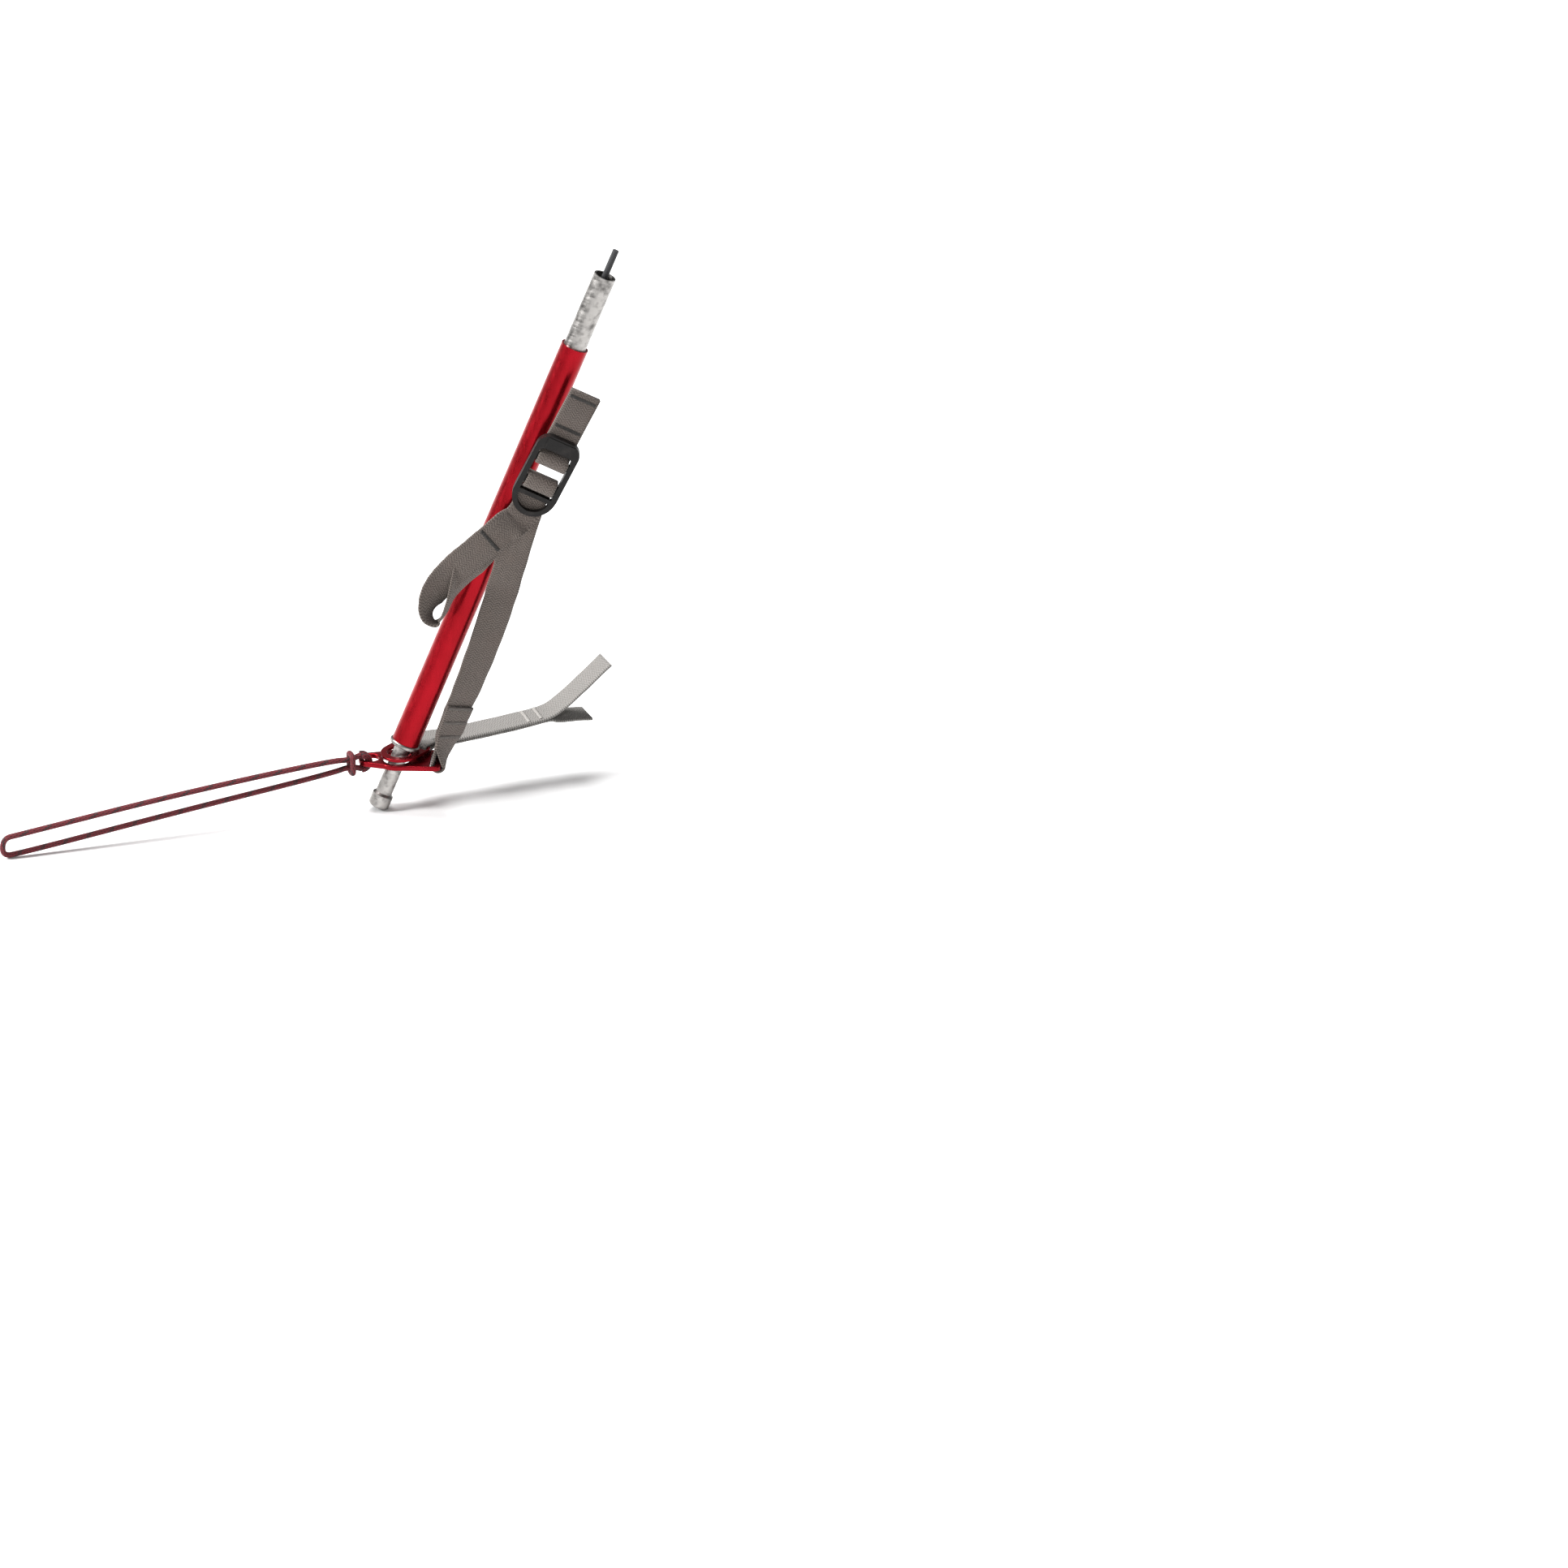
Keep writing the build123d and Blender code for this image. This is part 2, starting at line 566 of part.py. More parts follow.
def corner_radii(points):
    """0.45 of the shorter run, over the tangent of half the turn, at each inner point."""
    radii = []
    for before, at, after in zip(points, points[1:], points[2:]):
        back, ahead = at - before, after - at
        turn = radians(back.get_angle(ahead))
        radii.append(0.45 * min(back.length, ahead.length) / tan(turn / 2))
    return radii


def loop_points():
    rim = Vector(RIM_CENTRE.X, RIM_CENTRE.Y, GROUND_Z)
    return [rim + LOOP_FLAT * out + UP * height for out, height in LOOP_ROUTE]


def cord_along(path_edge):
    start = path_edge @ 0
    profile = Plane(origin=start, z_dir=path_edge % 0) * Circle(CORD_R)
    return sweep(profile, path=path_edge)


def make_stake_loop():
    points = loop_points()
    line = FilletPolyline(*points, radius=corner_radii(points))
    return cord_along(line)


def hitch_point(angle, side, r=HITCH_R):
    """A point round the rim: 0 is out along the loop, 90 is above the plate."""
    a = radians(angle)
    out = LOOP_ALONG * (r * cos(a)) + PLATE_UP * (r * sin(a))
    return RIM_CENTRE + out + LOOP_ACROSS * side


def make_loop_hitch():
    """Two turns of the cord through the eyelet and the bight that draws them together."""
    hitch = None
    for side in (-HITCH_SPREAD, HITCH_SPREAD):
        arc = ThreePointArc(hitch_point(88, side), hitch_point(180, side), hitch_point(272, side))
        turn = cord_along(arc)
        hitch = turn if hitch is None else hitch + turn
    centre = RIM_CENTRE + LOOP_ALONG * PINCH_OUT
    plane = Plane(origin=centre, x_dir=LOOP_ACROSS, z_dir=LOOP_ALONG)
    tall, wide = PINCH_HALF + 2 * CORD_R + 0.05, 2 * CORD_R + 0.05
    corners = [(wide, tall), (-wide, tall), (-wide, -tall), (wide, -tall)]
    corners = [plane.from_local_coords(Vector(x, y, 0)) for x, y in corners]
    ring = FilletPolyline(*corners, radius=BIGHT_CORNER_R, close=True)
    return hitch + cord_along(ring)


PARTS = {
    "pole_tube": lambda: tube(TUBE_R, TUBE_BORE_R, TUBE_FOOT, TUBE_TOP),
    "pole_tip": make_pole_tip,
    "ferrule": make_ferrule,
    "shock_cord": make_shock_cord,
    "shock_cord_knot": make_shock_cord_knot,
    "fly_plate": make_fly_plate,
    "body_plate": make_body_plate,
    "strap_foot": make_strap_foot,
    "tension_strap": make_tension_strap,
    "strap_bartack": make_strap_bartack,
    "ladderlock": make_ladderlock,
    "strap_in_buckle": make_strap_in_buckle,
    "anchor_web": make_anchor_web,
    "anchor_bartack": make_anchor_bartack,
    "tail_loop": make_tail_loop,
    "tail_bartack": make_tail_bartack,
    "body_web_loop": make_body_web_loop,
    "body_web": make_body_web,
    "edge_web": make_edge_web,
    "floor_tab": make_floor_tab,
    "web_bartack": make_web_bartack,
    "stake_loop": make_stake_loop,
    "loop_hitch": make_loop_hitch,
}

if __name__ == "__main__":
    os.makedirs("parts", exist_ok=True)
    for name, make in PARTS.items():
        export_step(make(), f"parts/{name}.step")
    radii = corner_radii(loop_points())
    cord = make_stake_loop().volume / (pi * CORD_R**2)
    print("stake loop: corner radii", [round(r, 1) for r in radii], "length", round(cord, 1))
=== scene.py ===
import math

import bpy
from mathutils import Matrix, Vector


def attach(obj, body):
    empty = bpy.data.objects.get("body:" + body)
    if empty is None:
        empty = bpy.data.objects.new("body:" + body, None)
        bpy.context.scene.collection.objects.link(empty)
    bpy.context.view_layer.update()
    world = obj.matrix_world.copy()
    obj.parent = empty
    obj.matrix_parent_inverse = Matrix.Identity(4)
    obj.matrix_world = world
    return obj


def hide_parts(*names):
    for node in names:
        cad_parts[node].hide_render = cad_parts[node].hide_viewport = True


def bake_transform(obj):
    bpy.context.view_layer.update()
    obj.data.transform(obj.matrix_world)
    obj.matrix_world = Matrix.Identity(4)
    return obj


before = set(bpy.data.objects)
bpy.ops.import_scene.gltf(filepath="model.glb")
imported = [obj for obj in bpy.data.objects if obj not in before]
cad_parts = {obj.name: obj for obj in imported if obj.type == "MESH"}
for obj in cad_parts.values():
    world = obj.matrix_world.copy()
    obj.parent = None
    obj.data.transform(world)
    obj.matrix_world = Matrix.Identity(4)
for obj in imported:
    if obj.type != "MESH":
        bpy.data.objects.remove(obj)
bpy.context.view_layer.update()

MM = 0.001
UP = Vector((0, 0, 1))


def mm(x, y, z):
    return Vector((x, y, z)) * MM


def plan(angle):
    return Vector((math.cos(math.radians(angle)), math.sin(math.radians(angle)), 0))


def square_to(vector, axis):
    return (vector - axis * vector.dot(axis)).normalized()


# --- dimensions of the object, as in the CAD ------------------------------------------------------
WEB_W = 10.0 * MM
WEB_T = 0.85 * MM
CORD_R = 0.9 * MM
GROUND_Z = -3.473 * MM
BAR_CENTRE = mm(18.062, -0.461, 12.946)
STRAP_TOP = mm(46.757, -1.024, 102.021)
STRAP_DIR = (STRAP_TOP - BAR_CENTRE).normalized()
STRAP_LENGTH = (STRAP_TOP - BAR_CENTRE).length
STRAP_ACROSS = Vector((0.07004, 0.99741, -0.01626))
STRAP_BOW = 1.4 * MM
WRAP_R = 1.5 * MM
DOUBLE_TO = 21.0 * MM
TWIST = [(0.0, 82.0), (5.0, 52.0), (10.0, 35.0), (25.0, 25.0), (60.0, 0.0)]
BUCKLE_O = mm(51.0, -3.6, 110.8)
BUCKLE_Y = Vector((0.435, -0.02, 0.90)).normalized()
BUCKLE_Z = square_to(Vector((0, -1, 0)), BUCKLE_Y)
BUCKLE_X = BUCKLE_Y.cross(BUCKLE_Z)
PLATE_UP = Vector((-0.02616, -0.03489, 0.99905))
BODY_O = mm(6.12, 0.817, 15.131)
BODY_X = Vector((0.64226, 0.76525, 0.04354))
BODY_Y = PLATE_UP.cross(BODY_X)
RUN_ACROSS = Vector((-0.32557, 0.94552, 0.0))
RIM_CENTRE = mm(-6.114, 0.328, 12.341)
LOOP_ALONG = Vector((-0.94289, -0.33111, -0.03625))
LOOP_ACROSS = PLATE_UP.cross(LOOP_ALONG)
LOOP_FLAT = plan(199.4)
HITCH_R = 2.4 * MM
HITCH_SPREAD = 0.95 * MM


def in_buckle(x, y, z):
    return BUCKLE_O + (BUCKLE_X * x + BUCKLE_Y * y + BUCKLE_Z * z) * MM


def in_body_plate(x, y, z):
    return BODY_O + (BODY_X * x + BODY_Y * y + PLATE_UP * z) * MM


# --- camera ---------------------------------------------------------------------------------------
ELEVATION = math.radians(24)
TARGET = mm(125.5, 2.61, 3.65)
DISTANCE = 12.0
FOCAL_LENGTH = 884
camera = bpy.data.objects.new("camera", bpy.data.cameras.new("camera"))
bpy.context.scene.collection.objects.link(camera)
camera.data.sensor_width = 36
camera.data.lens = FOCAL_LENGTH
camera.data.clip_end = 50
towards = Vector((0, -math.cos(ELEVATION), math.sin(ELEVATION)))
camera.location = TARGET + towards * DISTANCE
camera.rotation_euler = (-towards).to_track_quat("-Z", "Y").to_euler()
bpy.context.scene.camera = camera


# --- material tools -------------------------------------------------------------------------------
class Recipe:
    """A material under construction: short calls that add one node each and return its output."""

    def __init__(self, name, roughness, metallic=0.0):
        self.mat = bpy.data.materials.new(name)
        self.mat.use_nodes = True
        self.tree = self.mat.node_tree
        self.shader = self.tree.nodes["Principled BSDF"]
        self.shader.inputs["Roughness"].default_value = roughness
        self.shader.inputs["Metallic"].default_value = metallic

    def node(self, kind, **settings):
        made = self.tree.nodes.new(kind)
        for key, value in settings.items():
            setattr(made, key, value)
        return made

    def feed(self, socket, value):
        if isinstance(value, bpy.types.NodeSocket):
            self.tree.links.new(value, socket)
        else:
            socket.default_value = value

    def math(self, operation, a, b=0.0):
        made = self.node("ShaderNodeMath", operation=operation)
        self.feed(made.inputs[0], a)
        self.feed(made.inputs[1], b)
        return made.outputs[0]

    def uv(self):
        """Across and along the piece, in millimetres."""
        coords = self.node("ShaderNodeTexCoord").outputs["UV"]
        split = self.node("ShaderNodeSeparateXYZ")
        self.feed(split.inputs[0], coords)
        return split.outputs[0], split.outputs[1]

    def place(self, scale):
        coords = self.node("ShaderNodeTexCoord").outputs["Object"]
        made = self.node("ShaderNodeMapping")
        self.feed(made.inputs["Vector"], coords)
        made.inputs["Scale"].default_value = scale
        return made.outputs[0]

    def noise(self, scale, detail=3.0, at=None, roughness=0.5):
        made = self.node("ShaderNodeTexNoise")
        made.inputs["Scale"].default_value = scale
        made.inputs["Detail"].default_value = detail
        made.inputs["Roughness"].default_value = roughness
        self.feed(made.inputs["Vector"], at or self.node("ShaderNodeTexCoord").outputs["Object"])
        return made.outputs[0]

    def half(self, turned):
        """A sine between 0 and 1."""
        return self.math("ADD", self.math("MULTIPLY", self.math("SINE", turned), 0.5), 0.5)

    def span(self, value, low, high, to_low=0.0, to_high=1.0):
        made = self.node("ShaderNodeMapRange")
        self.feed(made.inputs["Value"], value)
        limits = {"From Min": low, "From Max": high, "To Min": to_low, "To Max": to_high}
        for key, number in limits.items():
            made.inputs[key].default_value = number
        return made.outputs[0]

    def mix(self, factor, a, b):
        made = self.node("ShaderNodeMix", data_type="RGBA")
        self.feed(made.inputs["Factor"], factor)
        for socket, colour in ((made.inputs["A"], a), (made.inputs["B"], b)):
            self.feed(socket, colour if isinstance(colour, bpy.types.NodeSocket) else (*colour, 1))
        return made.outputs["Result"]

    def colour(self, value):
        self.feed(self.shader.inputs["Base Color"], value)

    def rough(self, value):
        self.feed(self.shader.inputs["Roughness"], value)

    def bump(self, height, depth_mm, strength=1.0):
        made = self.node("ShaderNodeBump")
        made.inputs["Strength"].default_value = strength
        made.inputs["Distance"].default_value = depth_mm * MM
        self.feed(made.inputs["Height"], height)
        self.feed(self.shader.inputs["Normal"], made.outputs[0])


def webbing(name, dark, light, patch):
    """Narrow woven tape: herringbone picks over lengthwise warp threads, plainer selvedges, painted
    shade in the low spots of the weave.
    """
    r = Recipe(name, 0.88)
    across, along = r.uv()
    slant = r.math("MULTIPLY", r.math("PINGPONG", across, 1.25), 0.8)
    pick = r.half(r.math("MULTIPLY", r.math("ADD", along, slant), 2 * math.pi / 0.9))
    warp = r.half(r.math("MULTIPLY", across, 2 * math.pi / 0.5))
    edge = r.span(r.math("ABSOLUTE", across), 3.9, 4.6)
    rib = r.half(r.math("MULTIPLY", along, 2 * math.pi / 0.7))
    weave = r.math("ADD", r.math("MULTIPLY", pick, 0.65), r.math("MULTIPLY", warp, 0.35))
    middle = r.math("MULTIPLY", weave, r.math("SUBTRACT", 1.0, edge))
    height = r.math("ADD", middle, r.math("MULTIPLY", rib, edge))
    blotch = r.noise(160, 4)
    fibre = r.noise(2600, 2)
    # tone: the weave height paints shade into the low spots of the weave; the fibre noise is the
    # yarn's own uneven tone
    tone = r.math("ADD", r.math("MULTIPLY", height, 0.6), r.math("MULTIPLY", fibre, 0.4))
    base = r.mix(r.span(tone, 0.15, 0.85), dark, light)
    r.colour(r.mix(r.span(blotch, 0.45, 0.75, 0.0, 0.55), base, patch))
    r.rough(r.span(fibre, 0.3, 0.7, 0.78, 0.96))
    r.bump(r.math("ADD", height, r.math("MULTIPLY", fibre, 0.5)), 0.16)
    r.shader.inputs["Sheen Weight"].default_value = 0.1
    r.shader.inputs["Sheen Roughness"].default_value = 0.5
    return r.mat


def anodised(name, deep, bright):
    """Dyed and sealed aluminium with fine drawing lines and small scuffs."""
    r = Recipe(name, 0.3, 0.85)
    lines = r.noise(900, 3, r.place((1, 1, 0.06)))
    cloud = r.noise(70, 4)
    scuff = r.span(r.noise(1500, 5, r.place((1, 1, 0.35)), 0.7), 0.72, 0.8)
    base = r.mix(r.span(cloud, 0.35, 0.7), deep, bright)
    r.colour(r.mix(r.math("MULTIPLY", scuff, 0.18), base, (0.5, 0.12, 0.12)))
    r.rough(r.math("ADD", r.span(lines, 0.3, 0.7, 0.24, 0.36), r.math("MULTIPLY", scuff, 0.2)))
    r.bump(lines, 0.006, 0.4)
    return r.mat


def bare_metal(name):
    """Turned aluminium with tool marks, its colour darkened in noise patches as painted reflection."""
    r = Recipe(name, 0.34, 1.0)
    rings = r.noise(1400, 2, r.place((0.08, 0.08, 1)))
    painted_reflection_noise = r.noise(420, 5)
    # the darker patch colour is painted reflection, standing in for dark surroundings mirrored in the
    # metal
    r.colour(r.mix(r.span(painted_reflection_noise, 0.45, 0.72), (0.4, 0.385, 0.37), (0.13, 0.125, 0.12)))
    r.rough(r.span(rings, 0.3, 0.7, 0.26, 0.48))
    r.bump(r.math("ADD", rings, r.math("MULTIPLY", painted_reflection_noise, 0.6)), 0.03)
    return r.mat


def moulded(name):
    """Moulded acetal with a fine spark-eroded texture and paler rubbed spots."""
    r = Recipe(name, 0.42)
    grain = r.noise(4200, 2)
    rub = r.span(r.noise(260, 4), 0.55, 0.75)
    r.colour(r.mix(rub, (0.006, 0.005, 0.0048), (0.022, 0.019, 0.018)))
    r.rough(r.math("ADD", r.span(grain, 0.3, 0.7, 0.34, 0.5), r.math("MULTIPLY", rub, 0.14)))
    r.bump(grain, 0.03)
    r.shader.inputs["Specular IOR Level"].default_value = 0.22
    return r.mat


def braid(name, main, shade, fleck, ends=8.0, period=1.9):
    """A braided sheath: two families of strands that cross on a slant, with tracer flecks and painted
    shade in the grooves between strands.
    """
    r = Recipe(name, 0.72)
    turn, along = r.uv()
    slant = r.math("MULTIPLY", along, 1.0 / period)
    strand = r.math("MULTIPLY", turn, ends)
    left = r.half(r.math("MULTIPLY", r.math("ADD", strand, slant), 2 * math.pi))
    right = r.half(r.math("MULTIPLY", r.math("SUBTRACT", strand, slant), 2 * math.pi))
    over = r.math("MAXIMUM", left, right)
    fibre = r.noise(2400, 2)
    # the shade colour goes where the strands dip: painted shade in the braid's grooves
    base = r.mix(r.span(over, 0.45, 1.0), shade, main)
    spiral = r.math("ADD", turn, r.math("MULTIPLY", along, 1.0 / 7.6))
    tracer = r.half(r.math("MULTIPLY", spiral, 2 * math.pi))
    marks = r.math("MULTIPLY", r.span(tracer, 0.86, 0.93), r.span(left, 0.5, 0.6))
    r.colour(r.mix(marks, base, fleck))
    r.rough(r.span(fibre, 0.3, 0.7, 0.62, 0.82))
    r.bump(r.math("ADD", over, r.math("MULTIPLY", fibre, 0.3)), 0.14)
    r.shader.inputs["Sheen Weight"].default_value = 0.05
    return r.mat


def thread(name, dark, light):
    """Twisted polyester sewing thread."""
    r = Recipe(name, 0.6)
    turn, along = r.uv()
    ply = r.half(r.math("MULTIPLY", r.math("ADD", turn, r.math("MULTIPLY", along, 1.6)), 4 * math.pi))
    r.colour(r.mix(r.span(r.noise(1800, 2), 0.35, 0.65), dark, light))
    r.bump(ply, 0.04)
    r.shader.inputs["Sheen Weight"].default_value = 0.15
    return r.mat


DARK_WEB = webbing("dark_webbing", (0.05, 0.038, 0.032), (0.17, 0.142, 0.125), (0.115, 0.088, 0.075))
LIGHT_WEB = webbing("light_webbing", (0.11, 0.105, 0.098), (0.3, 0.285, 0.27), (0.2, 0.19, 0.178))
TUBE_RED = anodised("tube_red", (0.25, 0.0015, 0.006), (0.34, 0.0025, 0.01))
# the plates' red is a darker copy of the tube's red: painted shade for the plates lying under the pole
SHADED_PLATE_RED = anodised("plate_red_painted_shade", (0.17, 0.0015, 0.006), (0.26, 0.0025, 0.01))
METAL = bare_metal("turned_aluminium")
PLASTIC = moulded("black_acetal")
RED_BRAID = braid("red_braid", (0.17, 0.003, 0.012), (0.035, 0.001, 0.003), (0.008, 0.006, 0.007))
ELASTIC = braid("elastic_cover", (0.075, 0.075, 0.08), (0.02, 0.02, 0.022), (0.3, 0.3, 0.3), 6.0, 1.2)
DARK_THREAD = thread("dark_thread", (0.012, 0.01, 0.009), (0.03, 0.026, 0.023))
STRAP_THREAD = thread("strap_thread", (0.085, 0.072, 0.063), (0.12, 0.104, 0.093))
LIGHT_THREAD = thread("light_thread", (0.3, 0.29, 0.27), (0.42, 0.4, 0.38))


# --- mesh tools -----------------------------------------------------------------------------------
def piece(name, verts, faces, uvs, material):
    mesh = bpy.data.meshes.new(name)
    mesh.from_pydata(verts, [], faces)
    layer = mesh.uv_layers.new(name="UVMap")
    for loop in mesh.loops:
        layer.data[loop.index].uv = (0, 0)
    for face, corners in zip(mesh.polygons, uvs):
        for index, uv in zip(face.loop_indices, corners):
            layer.data[index].uv = uv
    mesh.materials.append(material)
    mesh.shade_smooth()
    obj = bpy.data.objects.new(name, mesh)
    bpy.context.scene.collection.objects.link(obj)
    return obj


def eased(values, steps):
    """Vectors on a smooth line through the given ones, so many steps to a span."""
    line = []
    for i in range(len(values) - 1):
        around = [min(max(k, 0), len(values) - 1) for k in range(i - 1, i + 3)]
        before, start, end, after = [values[k] for k in around]
        for t in [k / steps for k in range(steps)]:
            slope = (end - before) * t
            bend = (before * 2 - start * 5 + end * 4 - after) * t**2
            turn = (start * 3 - before - end * 3 + after) * t**3
            line.append((start * 2 + slope + bend + turn) * 0.5)
    return line + [values[-1]]


def frames(path, widths):
    """At each point of a ribbon: place, width direction, face direction, slant, length so far."""
    made, length = [], 0.0
    for i, (point, across) in enumerate(zip(path, widths)):
        along = (path[min(i + 1, len(path) - 1)] - path[max(i - 1, 0)]).normalized()
        across = square_to(across, along)
        lean = 1.0
        if 0 < i < len(path) - 1:
            lean = max(0.6, along.dot((path[i + 1] - point).normalized()))
        if i:
            length += (point - path[i - 1]).length
        made.append((point, across, along.cross(across), lean, length))
    return made


COLUMNS = 14
SELVEDGE_WANDER = 0.05 * MM


def tape_outline(width, thickness):
    """The section of woven tape: flat faces, rounded and slightly thinner selvedges."""
    half_w, half_t = width / 2, thickness / 2
    flat = half_w - half_t
    line = []
    for k in range(COLUMNS + 1):
        line.append((flat * (1 - 2 * k / COLUMNS), half_t))
    for k in range(1, 4):
        a = math.pi * k / 4
        line.append((-flat - half_t * math.sin(a), half_t * math.cos(a)))
    for k in range(COLUMNS + 1):
        line.append((-flat * (1 - 2 * k / COLUMNS), -half_t))
    for k in range(1, 4):
        a = math.pi * k / 4
        line.append((flat + half_t * math.sin(a), -half_t * math.cos(a)))
    return line


def tape(name, path, widths, material, width=WEB_W, thickness=WEB_T):
    """A length of webbing along a path, with its selvedges a little uneven."""
    outline = tape_outline(width, thickness)
    count = len(outline)
    stations = frames(path, widths)
    verts, faces, uvs = [], [], []
    for point, across, normal, lean, length in stations:
        quick, slow = math.sin(length / MM * 2.3), math.sin(length / MM * 0.71 + 1.3)
        wander = SELVEDGE_WANDER * (quick + slow)
        for x, z in outline:
            side = x + wander * (x / (width / 2)) ** 3
            verts.append(point + across * side + normal * (z / lean))
    for i in range(len(stations) - 1):
        low, high = stations[i][4] / MM, stations[i + 1][4] / MM
        for k in range(count):
            n = (k + 1) % count
            faces.append((i * count + k, i * count + n, (i + 1) * count + n, (i + 1) * count + k))
            a, b = outline[k][0] / MM, outline[n][0] / MM
            uvs.append(((a, low), (b, low), (b, high), (a, high)))
    last = (len(stations) - 1) * count
    faces.append(tuple(range(count))[::-1])
    faces.append(tuple(last + k for k in range(count)))
    uvs.append([(outline[k][0] / MM, 0) for k in range(count)][::-1])
    uvs.append([(outline[k][0] / MM, stations[-1][4] / MM) for k in range(count)])
    return piece(name, verts, faces, uvs, material)


def round_tube(name, path, radius, material, sides=20, closed=False):
    """A round strand along points, its frame carried along without twist."""
    total = len(path)
    verts, faces, uvs, lengths = [], [], [], [0.0]
    for a, b in zip(path, path[1:] + path[:1]):
        lengths.append(lengths[-1] + (b - a).length)
    side = None
    for i, point in enumerate(path):
        if closed:
            along = (path[(i + 1) % total] - path[i - 1]).normalized()
        else:
            along = (path[min(i + 1, total - 1)] - path[max(i - 1, 0)]).normalized()
        side = square_to(side or Vector((0.3, 0.9, 0.31)), along)
        other = along.cross(side)
        for k in range(sides):
            a = 2 * math.pi * k / sides
            verts.append(point + (side * math.cos(a) + other * math.sin(a)) * radius)
    spans = total if closed else total - 1
    for i in range(spans):
        j = (i + 1) % total
        low, high = lengths[i] / MM, lengths[i + 1] / MM
        for k in range(sides):
            n = (k + 1) % sides
            faces.append((i * sides + k, i * sides + n, j * sides + n, j * sides + k))
            a, b = k / sides, (k + 1) / sides
            uvs.append(((a, low), (b, low), (b, high), (a, high)))
    if not closed:
        faces.append(tuple(range(sides))[::-1])
        faces.append(tuple((total - 1) * sides + k for k in range(sides)))
        uvs.append([(k / sides, 0) for k in range(sides)][::-1])
        uvs.append([(k / sides, lengths[total - 1] / MM) for k in range(sides)])
    return piece(name, verts, faces, uvs, material)


def spline_points(name, points, steps, closed=False):
    """Points read from the NURBS spline whose control points are given."""
    curve = bpy.data.curves.new(name, "CURVE")
    curve.dimensions = "3D"
    spline = curve.splines.new("NURBS")
    spline.points.add(len(points) - 1)
    for control, place in zip(spline.points, points):
        control.co = (*place, 1)
    spline.order_u = 3
    spline.use_endpoint_u = not closed
    spline.use_cyclic_u = closed
    spline.resolution_u = steps
    holder = bpy.data.objects.new(name, curve)
    bpy.context.scene.collection.objects.link(holder)
    mesh = bpy.data.meshes.new_from_object(holder)
    line = [vertex.co.copy() for vertex in mesh.vertices]
    bpy.data.objects.remove(holder)
    bpy.data.curves.remove(curve)
    bpy.data.meshes.remove(mesh)
    return line


# --- stake loop -----------------------------------------------------------------------------------
RIM_HEIGHT = RIM_CENTRE.z - GROUND_Z
REACH = 118.0 * MM
PINCH_OUT = 3.4 * MM
PINCH_HALF = 0.98 * MM
LOOP_ROUTE = [
    (0.0, RIM_HEIGHT + HITCH_R),
    (PINCH_OUT, RIM_HEIGHT + PINCH_HALF),
    (10.0 * MM, RIM_HEIGHT + 1.7 * MM),
    (60.0 * MM, 13.6 * MM),
    (REACH - 5.5 * MM, 7.5 * MM),
    (REACH - 0.3 * MM, 7.0 * MM),
    (REACH, 1.1 * MM),
    (REACH - 5.5 * MM, 1.15 * MM),
    (60.0 * MM, 7.6 * MM),
    (10.0 * MM, RIM_HEIGHT - 2.6 * MM),
    (PINCH_OUT, RIM_HEIGHT - PINCH_HALF),
    (0.0, RIM_HEIGHT - HITCH_R),
]
rim_on_ground = Vector((RIM_CENTRE.x, RIM_CENTRE.y, GROUND_Z))
loop_route = [rim_on_ground + LOOP_FLAT * out + UP * height for out, height in LOOP_ROUTE]
loop_line = spline_points("loop_route", loop_route, 90)
stake_loop = round_tube("stake_loop_cord", loop_line, CORD_R, RED_BRAID, 24)


def hitch_point(angle, side):
    a = math.radians(angle)
    out = LOOP_ALONG * math.cos(a) + PLATE_UP * math.sin(a)
    return RIM_CENTRE + out * HITCH_R + LOOP_ACROSS * side


hitch_pieces = []
for number, side in enumerate((-HITCH_SPREAD, HITCH_SPREAD)):
    arc = [hitch_point(86 + 188 * k / 28, side) for k in range(29)]
    hitch_pieces.append(round_tube(f"hitch_turn_{number}", arc, CORD_R, RED_BRAID))
bight_centre = RIM_CENTRE + LOOP_ALONG * PINCH_OUT
WIDE = 2 * CORD_R + 0.05 * MM
TALL = PINCH_HALF + WIDE
bight_up = LOOP_ALONG.cross(LOOP_ACROSS)
half_ring = [(1, 0.45), (1, 1), (0, 1.12), (-1, 1), (-1, 0.45)]
ring = half_ring + [(-across, -rise) for across, rise in half_ring]
bight_route = [bight_centre + LOOP_ACROSS * x * WIDE + bight_up * z * TALL for x, z in ring]
bight_line = spline_points("bight_route", bight_route, 14, True)
bight = round_tube("hitch_bight", bight_line, CORD_R, RED_BRAID, closed=True)
hitch_pieces.append(bight)
for part in hitch_pieces + [stake_loop]:
    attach(part, "ground_loop")
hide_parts("stake_loop")
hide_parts("loop_hitch")


# --- tension strap --------------------------------------------------------------------------------
def strap_across(up):
    up = up / MM
    if up >= TWIST[-1][0]:
        return plan(TWIST[-1][1])
    for (low, a), (high, b) in zip(TWIST, TWIST[1:]):
        if up <= high:
            return plan(a + (b - a) * (up - low) / (high - low))


def strap_point(up):
    bow = STRAP_BOW * math.sin(math.pi * up / STRAP_LENGTH) ** 2
    return BAR_CENTRE + STRAP_DIR * up + Vector((bow, 0, 0))


def strap_normal(up):
    return STRAP_DIR.cross(square_to(strap_across(up), STRAP_DIR))


